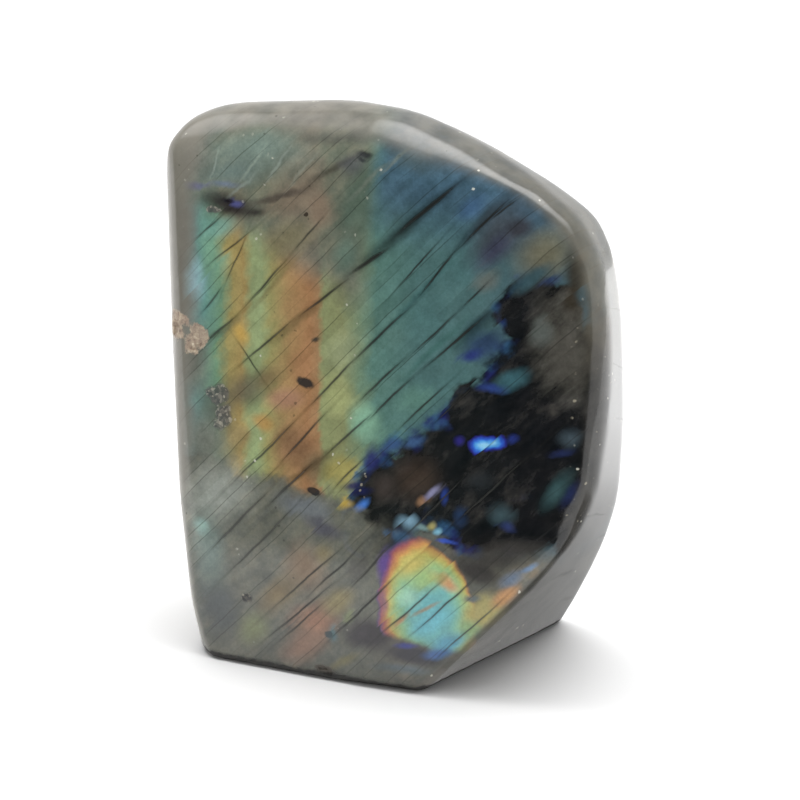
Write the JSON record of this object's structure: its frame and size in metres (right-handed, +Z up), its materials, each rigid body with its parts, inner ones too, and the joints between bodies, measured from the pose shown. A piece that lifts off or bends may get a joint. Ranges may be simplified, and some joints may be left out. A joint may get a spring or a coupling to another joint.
{
  "type": "polished labradorite freeform",
  "caption": "Free-standing piece of polished labradorite with a broad bowed front face, rubbed edges, a cut-back lower corner and a flat sawn base.",
  "frame": {"origin": "middle of the underside of the box round the stone, on the surface it stands on", "axes": "+Z up, front face looks along -Y, the cut-back lower corner is on +X"},
  "size_m": [0.0912, 0.0484, 0.108],
  "materials": {
    "labradorite": "polished grey-green feldspar with blue, green and gold flashes, dark cleavage cracks and a few rough chips"
  },
  "bodies": {
    "root": {"stone": "labradorite"}
  },
  "joints": []
}
